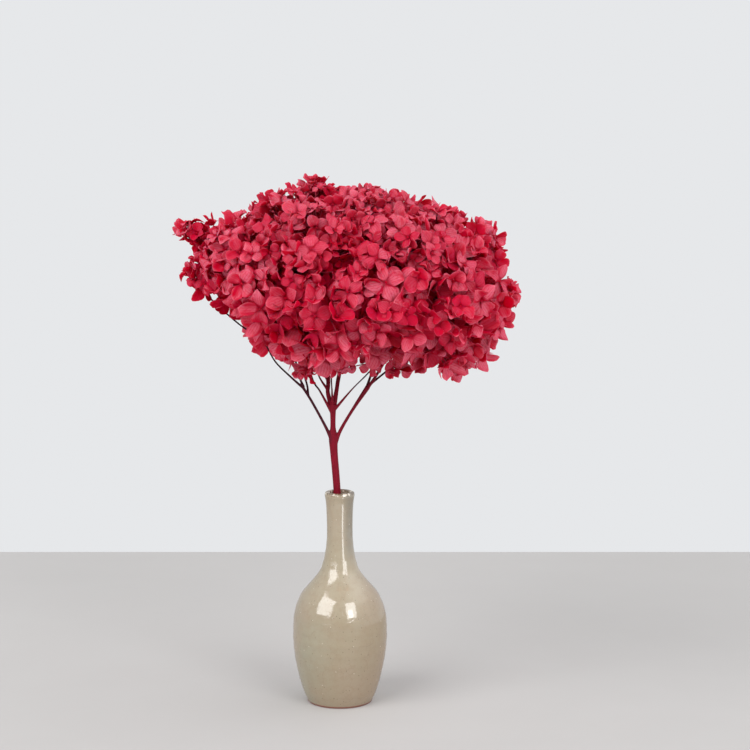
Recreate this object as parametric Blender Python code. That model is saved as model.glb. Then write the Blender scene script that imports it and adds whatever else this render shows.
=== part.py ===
"""A dyed, preserved hydrangea head on its own forked stem, standing in a glazed stoneware bud vase.

Metres, +Z up. The origin is the middle of the vase's flat foot, which stands on the table. The
flower's stem is a separate piece that only stands in the vase, and the flower head sits on the
stem's forks. Sizes are real ones: the vase is 140 mm tall and the head about 225 mm wide.
"""

import math
import random

import bmesh
import bpy
from mathutils import Matrix, Vector

MM = 0.001
GAP = 0.3 * MM  # clearance between pieces that touch on the real thing

# Vase
VASE_HEIGHT = 140 * MM
FOOT_RADIUS = 21.5 * MM
FOOT_CHAMFER = 0.8 * MM
BELLY_RADIUS = 30.8 * MM
BELLY_HEIGHT = 48 * MM
NECK_RADIUS = 8.5 * MM
NECK_HEIGHT = 118 * MM
LIP_RADIUS = 9.8 * MM
MOUTH_RADIUS = 6.3 * MM
BORE_RADIUS = 5.6 * MM  # the narrowest inside, in the neck
WALL = 3.2 * MM
FLOOR_THICKNESS = 6 * MM
VASE_SIDES = 36

# Stem: each branch's route from root to tip, as (x, y, z, radius) in millimetres
BRANCHES = {
    "main": (
        (6.6, -2.6, 6.5, 2.2),
        (2.3, 0.2, 72, 2.3),
        (-1.7, 3.1, 139.5, 2.4),
        (-3.6, 3.3, 164, 2.5),
        (-4.2, 3.4, 175, 2.9),
        (-4.3, 3.4, 182, 1.8),
        (-4.3, 3.4, 191, 1.9),
        (-4.4, 3.5, 197, 2.5),
    ),
    "left_limb": ((-4.4, 3.4, 172, 1.5), (-9.4, 2.5, 183, 1), (-18, 0.7, 199.4, 0.9), (-24, -1.5, 209.6, 1)),
    "left_outer": (
        (-22.9, -1.2, 208, 0.9),
        (-31.8, -4, 216.5, 0.7),
        (-41.1, -9, 226.9, 0.6),
        (-49.1, -13, 241.2, 0.6),
        (-63, -14, 251, 0.6),
        (-79.1, -10, 264.6, 0.6),
        (-90, -5, 275, 0.6),
    ),
    "left_inner": ((-23, -1.4, 209, 0.9), (-26, -4, 217, 0.7), (-28.5, -10, 231, 0.7), (-32, -18, 254, 0.7)),
    "left_middle": ((-20.2, 0, 203.4, 0.9), (-21.6, 3, 212, 0.7), (-29, 10, 230, 0.7), (-40, 20, 254, 0.7)),
    "right_limb": ((-3.2, 3.4, 170, 1.6), (0.5, 3, 179.8, 1.2), (8.6, 2, 193.8, 1.1), (18.4, -0.3, 209, 1.7)),
    "right_front": ((18, -0.2, 208, 1.2), (23.2, -2.5, 215.8, 1.0), (33, -10, 234, 0.8), (40, -20, 254, 0.7)),
    "right_outer": ((20, -0.6, 211, 1.0), (27.9, 0, 217.1, 0.7), (46, 4, 232, 0.7), (60, 6, 254, 0.7)),
    "right_back": ((15.4, 0.4, 203.9, 1.1), (18.6, 3.4, 211, 0.9), (25, 13, 230, 0.7), (32, 26, 254, 0.7)),
    "left_ray": ((-4.8, 3.5, 194, 1.8), (-7.6, 5, 204.5, 1.2), (-7.4, 8, 213.5, 1.2), (-9, 20, 254, 0.9)),
    "left_spur": ((-7.8, 5, 206.4, 1.0), (-13.4, 2, 216, 0.6), (-18, -4, 232, 0.6), (-20, -14, 254, 0.6)),
    "upper_spur": ((-7.4, 7.4, 211.6, 1.1), (-11.5, 9, 219.5, 0.8), (-18, 14, 234, 0.7), (-24, 30, 254, 0.7)),
    "left_twig": ((-5.2, 3.2, 192, 1.2), (-12.5, -1, 206.2, 0.7), (-18, -5, 217, 0.7), (-24, -34, 254, 0.6)),
    "middle_twig": ((-4.5, 3, 196, 1.2), (-4.8, -1, 207, 0.6), (-4.9, -7, 219, 0.6), (-2, -30, 252, 0.6)),
    "right_ray": ((-3.8, 3.5, 194.9, 1.7), (-1.8, 7, 206.7, 1.2), (-0.2, 10.5, 216, 1.2), (8, 24, 254, 0.9)),
    "right_twig": ((-3.2, 3.1, 193.6, 1.1), (8.5, -2, 208, 0.5), (18.2, -6, 218.4, 0.5), (26, -18, 254, 0.6)),
}
BRANCH_STEPS = 3  # straight pieces between two points of a route
MAIN_SIDES = 8
BRANCH_SIDES = 6
OPEN_FORK = ("main", "left_limb", "right_limb")  # branches that end below the flower head

# Flower head
HEAD_CENTRE = Vector((6, 0, 273)) * MM
REACH_SIDE = 98 * MM
REACH_DEPTH = 88 * MM
REACH_UP = 62 * MM
REACH_DOWN = 56 * MM
LOWEST_FLORETS = -0.75  # florets stop at this height on the unit sphere, so the forks show below
HEM_HEIGHT = 225 * MM  # and none is centred lower than this,
HEM_TURN = -8 * MM  # or left of here lower than a hem that rises
HEM_SLOPE = 0.6  # by this much for each millimetre further left
UNDERSIDE_HEIGHT = 240 * MM  # the core's flat underside
CORE_SHARE = 0.76  # the core's size beside the whole head
CORE_CUTS = 2
ROOT_SHARE = 0.8  # how far out in the core the florets' stalks are rooted
PLACE_COUNT = 123
FLORET_RADIUS = 16.5 * MM
FLORET_LAYER = 4 * MM  # neighbours stand this much higher or lower
FLORET_LEAN = 0.18
UPTURN = 26 * MM  # florets face away from a point this far below the head's centre
SEPALS = 4
SEPAL_THICKNESS = 0.7 * MM
STALK_ROOT_RADIUS = 1.7 * MM
STALK_TIP_RADIUS = 0.9 * MM
STALK_SIDES = 3
GOLDEN_ANGLE = math.pi * (3 - math.sqrt(5))
SEED = 11

# One sepal's edge from the notch before it: turn as a share of a sepal, reach and rise as shares
# of the floret's radius
SEPAL_EDGE = ((-0.5, 0.50, 0.07), (-0.26, 0.90, 0.20), (0.02, 1.0, 0.14), (0.28, 0.88, 0.22))

# Swellings and hollows of the head: direction from its centre, lift as a share of the reach and
# width in degrees
MOUNDS = (
    ((-0.33, -0.05, 0.94), 0.17, 19),
    ((0.90, 0.00, 0.43), 0.10, 14),
    ((-0.92, 0.00, 0.39), 0.20, 11),
    ((-0.99, -0.10, 0.06), 0.09, 10),
    ((-0.95, 0.00, -0.25), -0.10, 16),
    ((-0.80, -0.10, -0.62), -0.12, 20),
    ((0.99, -0.05, -0.02), 0.08, 13),
    ((0.80, -0.20, -0.60), 0.26, 20),
    ((0.05, -0.95, -0.20), 0.04, 26),
    ((0.10, -0.75, 0.60), -0.06, 13),
    ((-0.50, 0.85, 0.20), 0.06, 24),
    ((0.50, 0.85, 0.05), 0.05, 26),
    ((-0.05, 0.90, 0.40), -0.05, 14),
)


def catmull_rom(points, steps):
    """A smooth line through points of any length, with steps pieces between each pair."""
    points = [Vector(point) for point in points]
    ends = [points[0] * 2 - points[1], *points, points[-1] * 2 - points[-2]]
    line = []
    for before, start, end, after in zip(ends, ends[1:], ends[2:], ends[3:]):
        for step in range(steps):
            t = step / steps
            line.append(
                0.5
                * (
                    2 * start
                    + (end - before) * t
                    + (2 * before - 5 * start + 4 * end - after) * t**2
                    + (3 * start - before - 3 * end + after) * t**3
                )
            )
    line.append(points[-1])
    return line


def new_object(name, bm, material=None):
    """An object of its own from a bmesh, which is then freed."""
    mesh = bpy.data.meshes.new(name)
    bm.to_mesh(mesh)
    bm.free()
    obj = bpy.data.objects.new(name, mesh)
    if material:
        mesh.materials.append(material)
    bpy.context.scene.collection.objects.link(obj)
    return obj


def finish(name, colour, roughness):
    """A Principled material of one colour."""
    material = bpy.data.materials.new(name)
    material.use_nodes = True
    shader = material.node_tree.nodes["Principled BSDF"]
    shader.inputs["Base Color"].default_value = (*colour, 1)
    shader.inputs["Roughness"].default_value = roughness
    shader.inputs["Metallic"].default_value = 0
    return material


def combine(base, others, operation):
    """Joins the objects to base, or cuts them from it, by one applied Boolean, and removes them."""
    group = bpy.data.collections.new(base.name + "_group")
    for other in others:
        group.objects.link(other)
    boolean = base.modifiers.new("combine", "BOOLEAN")
    boolean.operation = operation
    boolean.operand_type = "COLLECTION"
    boolean.collection = group
    boolean.solver = "MANIFOLD"
    bpy.context.view_layer.update()
    graph = bpy.context.evaluated_depsgraph_get()
    combined = bpy.data.meshes.new_from_object(base.evaluated_get(graph))
    base.modifiers.remove(boolean)
    base.data = combined
    for other in others:
        bpy.data.objects.remove(other)
    bpy.data.collections.remove(group)


def radius_at(outline, height):
    """The radius of a turned outline at a height, between its points."""
    for low, high in zip(outline, outline[1:]):
        if low.y <= height <= high.y:
            return low.x + (high.x - low.x) * (height - low.y) / (high.y - low.y)
    return outline[0].x


def vase_outline():
    """The vase's section as (radius, height), from the middle of the foot over the lip and inside."""
    outside = catmull_rom(
        (
            (FOOT_RADIUS, FOOT_CHAMFER),
            (25.3 * MM, 10.5 * MM),
            (28.9 * MM, 26 * MM),
            (30.5 * MM, 38 * MM),
            (BELLY_RADIUS, BELLY_HEIGHT),
            (29.8 * MM, 60 * MM),
            (25.6 * MM, 71.5 * MM),
            (18.4 * MM, 80.5 * MM),
            (12.9 * MM, 88 * MM),
            (10.0 * MM, 98 * MM),
            (8.7 * MM, 108 * MM),
            (NECK_RADIUS, NECK_HEIGHT),
            (8.9 * MM, 131 * MM),
            (LIP_RADIUS, VASE_HEIGHT - 2 * MM),
        ),
        2,
    )
    lip_middle = (LIP_RADIUS + MOUTH_RADIUS) / 2
    lip = (
        (lip_middle + 1.1 * MM, VASE_HEIGHT - 0.3 * MM),
        (lip_middle, VASE_HEIGHT),
        (MOUTH_RADIUS, VASE_HEIGHT - 0.9 * MM),
    )
    inside = [(BORE_RADIUS, 128 * MM), (BORE_RADIUS, 102 * MM)]
    for height in (92, 82, 72, 60, 46, 30, 16):
        inside.append((radius_at(outside, height * MM) - WALL, height * MM))
    inside.append((FOOT_RADIUS - WALL, FLOOR_THICKNESS + 1.5 * MM))
    inside.append((FOOT_RADIUS - 2 * WALL, FLOOR_THICKNESS))
    foot = ((0, 0), (FOOT_RADIUS - FOOT_CHAMFER, 0))
    return [Vector(point) for point in (*foot, *outside, *lip, *inside, (0, FLOOR_THICKNESS))]


def make_vase(material):
    """The bottle vase: one turned shell, open at its mouth."""
    bm = bmesh.new()
    vertices = [bm.verts.new((point.x, 0, point.y)) for point in vase_outline()]
    edges = [bm.edges.new(pair) for pair in zip(vertices, vertices[1:])]
    bmesh.ops.spin(
        bm,
        geom=vertices + edges,
        cent=(0, 0, 0),
        axis=(0, 0, 1),
        angle=math.tau,
        steps=VASE_SIDES,
        use_merge=True,
    )
    bmesh.ops.remove_doubles(bm, verts=bm.verts, dist=0.01 * MM)
    bmesh.ops.recalc_face_normals(bm, faces=bm.faces)
    vase = new_object("vase", bm, material)
    vase.data.shade_smooth()
    vase.data.set_sharp_from_angle(angle=math.radians(50))


def circle_edges(bm, sides, radius, place):
    """The edges of a new circle."""
    ring = bmesh.ops.create_circle(bm, segments=sides, radius=radius, matrix=place)["verts"]
    return list({edge for vert in ring for edge in vert.link_edges})


def facing_place(middle, facing):
    """The matrix that puts a thing at middle with its +Z along facing."""
    return Matrix.Translation(middle) @ facing.to_track_quat("Z", "Y").to_matrix().to_4x4()


def branch(name, label, extra=0.0):
    """One branch as a closed tapering tube along its route, made thicker all round by extra."""
    line = catmull_rom(BRANCHES[name], BRANCH_STEPS)
    points = [point.xyz * MM for point in line]
    points[-1] += (points[-1] - points[-2]).normalized() * extra
    sides = MAIN_SIDES if name == "main" else BRANCH_SIDES
    bm = bmesh.new()
    across = Vector((1, 0, 0))
    below = None
    for index, point in enumerate(points):
        ahead = points[min(index + 1, len(points) - 1)] - points[max(index - 1, 0)]
        ahead.normalize()
        across = (across - ahead * across.dot(ahead)).normalized()
        turn = Matrix((across, ahead.cross(across), ahead)).transposed().to_4x4()
        edges = circle_edges(bm, sides, line[index].w * MM + extra, Matrix.Translation(point) @ turn)
        if below:
            bmesh.ops.bridge_loops(bm, edges=below + edges)
        below = edges
    bmesh.ops.holes_fill(bm, edges=[edge for edge in bm.edges if edge.is_boundary])
    bmesh.ops.recalc_face_normals(bm, faces=bm.faces)
    return new_object(label + name, bm)


def make_stem(material):
    """The woody stem with its forks, fused in one piece as it grew."""
    parts = [branch(name, "stem_") for name in BRANCHES]
    stem = parts[0]
    combine(stem, parts[1:], "UNION")
    stem.name = "stem"
    stem.data.materials.clear()
    stem.data.materials.append(material)
    stem.data.shade_smooth()
    stem.data.set_sharp_from_angle(angle=math.radians(70))


def even_reach(direction):
    """How far the head would reach from its centre in a direction if it had no mounds."""
    tall = REACH_UP if direction.z > 0 else REACH_DOWN
    return 1 / Vector((direction.x / REACH_SIDE, direction.y / REACH_DEPTH, direction.z / tall)).length


def reach(direction):
    """How far the head's surface lies from its centre in a direction."""
    distance = even_reach(direction)
    for towards, lift, width in MOUNDS:
        angle = direction.angle(Vector(towards))
        distance *= 1 + lift * math.exp(-((angle / math.radians(width)) ** 2))
    return distance


def core_reach(direction):
    """How far the core's surface lies from the head's centre in a direction."""
    distance = CORE_SHARE * even_reach(direction)
    if direction.z < 0:
        distance = min(distance, (UNDERSIDE_HEIGHT - HEAD_CENTRE.z) / direction.z)
    return distance


def floret_places():
    """Each floret's middle, the way it faces, its turn and radius, spread evenly over the head."""
    draw = random.Random(SEED)
    places = []
    for index in range(PLACE_COUNT):
        height = 1 - (1 - LOWEST_FLORETS) * (index + 0.5) / PLACE_COUNT
        flat = math.sqrt(1 - height * height)
        angle = GOLDEN_ANGLE * index
        # The head is wider than it is tall, so even directions are stretched to even places
        direction = Vector(
            (flat * math.cos(angle) * REACH_SIDE, flat * math.sin(angle) * REACH_DEPTH, height * REACH_UP)
        ).normalized()
        layer = (index % 3 - 2) * FLORET_LAYER
        middle = HEAD_CENTRE + direction * (reach(direction) + layer)
        facing = (middle - HEAD_CENTRE + Vector((0, 0, UPTURN))).normalized()
        lean = Vector(draw.uniform(-1, 1) for _ in range(3)) * FLORET_LEAN
        radius = FLORET_RADIUS * draw.uniform(0.92, 1.08)
        turn = draw.uniform(0, math.tau)
        if middle.z > HEM_HEIGHT + HEM_SLOPE * max(0, HEM_TURN - middle.x):
            places.append((middle, (facing + lean).normalized(), turn, radius))
    return places


def floret(name, middle, facing, turn, radius):
    """One floret of four rounded sepals, on a three-sided stalk that is sunk into the core."""
    bm = bmesh.new()
    outline = []
    for sepal in range(SEPALS):
        for along, out, rise in SEPAL_EDGE:
            angle = (sepal + along) * math.tau / SEPALS
            flat = Vector((math.cos(angle), math.sin(angle), 0)) * out * radius
            outline.append(bm.verts.new(flat + Vector((0, 0, rise * radius))))
    poked = bmesh.ops.poke(bm, faces=[bm.faces.new(outline)])
    poked["verts"][0].co = (0, 0, 0)
    rim = bmesh.ops.extrude_edge_only(bm, edges=[edge for edge in bm.edges if edge.is_boundary])
    lower = [item for item in rim["geom"] if isinstance(item, bmesh.types.BMVert)]
    bmesh.ops.translate(bm, verts=lower, vec=(0, 0, -SEPAL_THICKNESS))
    place = facing_place(middle, facing) @ Matrix.Rotation(turn, 4, "Z")
    bmesh.ops.transform(bm, matrix=place, verts=bm.verts)
    underside = [edge for edge in bm.edges if edge.is_boundary]
    inwards = (HEAD_CENTRE - middle).normalized()
    root = HEAD_CENTRE - inwards * core_reach(-inwards) * ROOT_SHARE
    tip = middle - facing * 2 * SEPAL_THICKNESS
    top = circle_edges(bm, STALK_SIDES, STALK_TIP_RADIUS, facing_place(tip, -inwards))
    bottom = circle_edges(bm, STALK_SIDES, STALK_ROOT_RADIUS, facing_place(root, -inwards))
    bmesh.ops.bridge_loops(bm, edges=underside + top)
    bmesh.ops.bridge_loops(bm, edges=top + bottom)
    bmesh.ops.holes_fill(bm, edges=bottom)
    bmesh.ops.triangulate(bm, faces=bm.faces)
    bmesh.ops.recalc_face_normals(bm, faces=bm.faces)
    return new_object(name, bm)


def drop_scraps(obj):
    """Keeps only the largest joined body of a mesh."""
    bm = bmesh.new()
    bm.from_mesh(obj.data)
    unseen = set(bm.verts)
    bodies = []
    while unseen:
        body = []
        waiting = [unseen.pop()]
        while waiting:
            vert = waiting.pop()
            body.append(vert)
            fresh = {edge.other_vert(vert) for edge in vert.link_edges} & unseen
            unseen -= fresh
            waiting.extend(fresh)
        bodies.append(body)
    bodies.sort(key=len)
    for scrap in bodies[:-1]:
        bmesh.ops.delete(bm, geom=scrap, context="VERTS")
    bm.to_mesh(obj.data)
    bm.free()


def make_head(material):
    """The flower head: florets round a smaller core, which the stem's forks run up into."""
    bm = bmesh.new()
    bmesh.ops.create_icosphere(bm, subdivisions=CORE_CUTS, radius=1)
    for vert in bm.verts:
        direction = vert.co.normalized()
        vert.co = HEAD_CENTRE + direction * core_reach(direction)
    head = new_object("flower_head", bm)
    florets = [floret(f"floret_{index}", *place) for index, place in enumerate(floret_places())]
    combine(head, florets, "UNION")
    sockets = [branch(name, "socket_", GAP) for name in BRANCHES if name not in OPEN_FORK]
    combine(head, sockets, "DIFFERENCE")
    drop_scraps(head)
    head.data.materials.clear()
    head.data.materials.append(material)


def main():
    """Clears the scene and makes the vase, the stem and the flower head."""
    for obj in list(bpy.data.objects):
        bpy.data.objects.remove(obj)
    make_vase(finish("glaze", (0.45, 0.38, 0.27), 0.18))
    make_stem(finish("dyed_bark", (0.24, 0.02, 0.05), 0.6))
    make_head(finish("dyed_petal", (0.55, 0.03, 0.07), 0.7))


main()
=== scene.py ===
"""A dyed hydrangea head on its own forked stem, standing in a small glazed bottle vase.

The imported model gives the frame. The vase is turned again with a finer wall and a crackled glaze,
the stem grows again along the same routes with swollen forks, and the head opens into well over a
thousand florets, each with its own sepals and stalk. Metres, +Z up; the origin is the middle of the
foot.
"""

import logging
import math
import random
from dataclasses import dataclass
from enum import Enum
from typing import Iterable, Mapping, Sequence, Union

import bmesh
import bpy
from mathutils import Matrix, Vector
from mathutils.kdtree import KDTree


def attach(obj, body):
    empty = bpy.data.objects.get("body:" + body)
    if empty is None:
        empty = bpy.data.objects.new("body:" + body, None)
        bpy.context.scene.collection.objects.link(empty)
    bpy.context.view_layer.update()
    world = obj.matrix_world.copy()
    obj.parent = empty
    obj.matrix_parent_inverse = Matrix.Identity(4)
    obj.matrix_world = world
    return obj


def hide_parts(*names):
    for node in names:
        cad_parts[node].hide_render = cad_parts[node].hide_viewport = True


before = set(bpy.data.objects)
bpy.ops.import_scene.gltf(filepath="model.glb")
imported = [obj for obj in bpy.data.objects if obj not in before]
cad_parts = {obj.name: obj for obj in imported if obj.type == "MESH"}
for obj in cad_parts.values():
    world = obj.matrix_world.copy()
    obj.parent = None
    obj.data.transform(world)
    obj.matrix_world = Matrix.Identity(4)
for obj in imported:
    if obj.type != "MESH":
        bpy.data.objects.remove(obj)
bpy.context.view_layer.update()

LOG = logging.getLogger("hydrangea")
MM = 0.001
GOLDEN_ANGLE = math.pi * (3 - math.sqrt(5))
BODY = "root"
EYE = Vector((23.03 * MM, -1.36, 0.415))  # the camera

Band = tuple[float, float]  # the two ends of a soft step, a range or a taper
Place = tuple[tuple[str, float, float], ...]  # soft steps, each after the axis that it lies along
Colour = tuple[float, float, float]
Value = Union[float, Colour, "Socket"]
Pick = Union[int, str]  # a node's socket, by place or name


class Slot(Enum):
    """The record's material slots."""

    GLAZE = "glaze"
    BARK = "dyed_bark"
    PETAL = "dyed_petal"


class Node(Enum):
    """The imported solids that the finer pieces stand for."""

    VASE = "vase"
    STEM = "stem"
    HEAD = "flower_head"


class Socket:
    """One output of a shader node, which takes part in sums as a number does."""

    def __init__(self, paint: "Paint", output: bpy.types.NodeSocket) -> None:
        """Keeps the output and the paint that it belongs to."""
        self.paint = paint
        self.output = output

    def maths(self, operation: str, *values: Value) -> "Socket":
        """One Math node on these values."""
        return self.paint.node("ShaderNodeMath", dict(enumerate(values)), operation=operation)

    def __add__(self, other: Value) -> "Socket":
        """self + other, either way round."""
        return self.maths("ADD", self, other)

    __radd__ = __add__

    def __sub__(self, other: Value) -> "Socket":
        """self - other."""
        return self.maths("SUBTRACT", self, other)

    def __rsub__(self, other: Value) -> "Socket":
        """other - self."""
        return self.maths("SUBTRACT", other, self)

    def __mul__(self, other: Value) -> "Socket":
        """self * other, either way round."""
        return self.maths("MULTIPLY", self, other)

    __rmul__ = __mul__

    def __pow__(self, other: Value) -> "Socket":
        """self to a power."""
        return self.maths("POWER", self, other)

    def __abs__(self) -> "Socket":
        """The value without its sign."""
        return self.maths("ABSOLUTE", self)

    def sine(self) -> "Socket":
        """The sine of the value in radians."""
        return self.maths("SINE", self)

    def step(self, low: float, high: float) -> "Socket":
        """A soft step.

        Args:
            low: The value where the step starts.
            high: The value where it ends; below low, the step falls instead of rising.

        Returns:
            0 before the step and 1 past it, or the reverse.
        """
        before = {"Value": self, "From Min": min(low, high), "From Max": max(low, high)}
        after = {"To Min": float(low > high), "To Max": float(low < high)}
        return self.paint.node("ShaderNodeMapRange", before | after, interpolation_type="SMOOTHSTEP")


class Nodes:
    """Adds shader nodes to a tree, which starts empty."""

    MIX_FACTOR, MIX_FROM, MIX_TO, MIX_RESULT = 0, 6, 7, 2  # the colour sockets of a Mix node

    def __init__(self, tree: bpy.types.NodeTree) -> None:
        """Empties the tree and keeps it."""
        self.tree = tree
        self.tree.nodes.clear()

    def node(
        self, kind: str, sockets: Mapping[Pick, Value] | None = None, take: Pick = 0, **settings: str
    ) -> Socket:
        """Adds any node.

        Args:
            kind: The node's type.
            sockets: Values or links of its inputs, by place or name.
            take: The output wanted, by place or name.
            settings: Its own settings, which are set first.

        Returns:
            That output.
        """
        made = self.tree.nodes.new(kind)
        for name, value in settings.items():
            setattr(made, name, value)
        for name, value in (sockets or {}).items():
            socket = made.inputs[name]
            if isinstance(value, Socket):
                self.tree.links.new(value.output, socket)
            elif isinstance(value, tuple) and len(value) < len(socket.default_value):
                socket.default_value = (*value, 1.0)
            else:
                socket.default_value = value
        return Socket(self, made.outputs[take])

    def end(self, kind: str, surface: Socket) -> None:
        """Links the surface to an output node of this type."""
        output = self.tree.nodes.new(kind)
        self.tree.links.new(surface.output, output.inputs["Surface"])

    def along(self, place: Socket, axis: str) -> Socket:
        """One of a place's three coordinates."""
        return self.node("ShaderNodeSeparateXYZ", {0: place}, axis)

    def within(self, place: Socket, bands: Place) -> Value:
        """How far past some soft steps a place or a direction lies.

        Args:
            place: The place or the direction.
            bands: The steps along its axes.

        Returns:
            1 where all are full, and 0 where one hasn't started.
        """
        share: Value = 1.0
        for axis, start, full in bands:
            share = self.along(place, axis).step(start, full) * share
        return share

    def blend(self, factor: Value, start: Value, end: Value) -> Socket:
        """A colour between two, by a factor from 0 to 1."""
        sockets = {self.MIX_FACTOR: factor, self.MIX_FROM: start, self.MIX_TO: end}
        return self.node("ShaderNodeMix", sockets, self.MIX_RESULT, data_type="RGBA")

    def layers(self, base: Value, *over: tuple[Value, Value]) -> Value:
        """Colours laid one over another.

        Args:
            base: The lowest colour.
            over: Each further colour, after the factor that it shows by.

        Returns:
            The finished colour.
        """
        for factor, colour in over:
            base = self.blend(factor, base, colour)
        return base


class Paint(Nodes):
    """A material in the making, which ends in one Principled shader."""

    DOT_CORE = 0.5  # the share of a dot's radius where it is full
    PICK_EDGE = 0.95  # how sharply the cells that hold a dot are picked

    def __init__(self, name: str) -> None:
        """Starts an empty material of this name."""
        self.material = bpy.data.materials.new(name)
        self.material.use_nodes = True
        super().__init__(self.material.node_tree)

    def place(self) -> Socket:
        """The piece's own coordinates, in metres."""
        return self.node("ShaderNodeTexCoord", take="Object")

    def attribute(self, name: str) -> Socket:
        """A number kept on the mesh."""
        return self.node("ShaderNodeAttribute", take="Fac", attribute_name=name)

    def drawn_out(self, place: Socket, share: float) -> Socket:
        """The coordinates with their height scaled, which draws a pattern out upwards."""
        sockets = {"Vector": place, "Scale": (1.0, 1.0, share)}
        return self.node("ShaderNodeMapping", sockets, vector_type="POINT")

    def noise(self, place: Socket, grain: float, detail: float = 3.0, roughness: float = 0.5) -> Socket:
        """Soft clouds of about this grain in metres, between 0 and 1."""
        sockets = {"Vector": place, "Scale": 1 / grain, "Detail": detail, "Roughness": roughness}
        return self.node("ShaderNodeTexNoise", sockets)

    def warped(self, place: Socket, grain: float, amount: float) -> Socket:
        """The coordinates pushed about.

        Args:
            place: The coordinates.
            grain: The size of the push's waves in metres.
            amount: How far it pushes, in metres.

        Returns:
            The pushed coordinates.
        """
        clouds = self.node("ShaderNodeTexNoise", {"Vector": place, "Scale": 1 / grain}, "Color")
        sockets = {0: clouds, 1: (amount, amount, amount), 2: place}
        return self.node("ShaderNodeVectorMath", sockets, operation="MULTIPLY_ADD")

    def cells(self, place: Socket, grain: float, feature: str, take: str, uneven: float = 1.0) -> Socket:
        """A Voronoi pattern of cells of about this grain in metres."""
        sockets = {"Vector": place, "Scale": 1 / grain, "Randomness": uneven}
        return self.node("ShaderNodeTexVoronoi", sockets, take, feature=feature)

    def dots(self, place: Socket, grain: float, size: float, share: float) -> Socket:
        """Scattered dots.

        Args:
            place: The coordinates.
            grain: The spacing of the cells that may hold one, in metres.
            size: A dot's radius in metres.
            share: The share of the cells that hold one.

        Returns:
            1 in a dot and 0 elsewhere.
        """
        near = self.cells(place, grain, "F1", "Distance").step(size / grain, self.DOT_CORE * size / grain)
        colour = self.cells(place, grain, "F1", "Color")
        return near * self.along(colour, "X").step(share, share * self.PICK_EDGE)

    def bump(self, height: Socket, depth: float) -> Socket:
        """A normal from a height of 0 to 1 that stands for this depth in metres."""
        return self.node("ShaderNodeBump", {"Height": height, "Distance": depth, "Strength": 1.0})

    def done(self, **shader: Value) -> bpy.types.Material:
        """Ends the material in a Principled shader.

        Args:
            shader: Values or links of its sockets; an underscore in a name stands for a space.

        Returns:
            The material.
        """
        sockets = {name.replace("_", " "): value for name, value in shader.items()}
        self.end("ShaderNodeOutputMaterial", self.node("ShaderNodeBsdfPrincipled", sockets))
        return self.material


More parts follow.
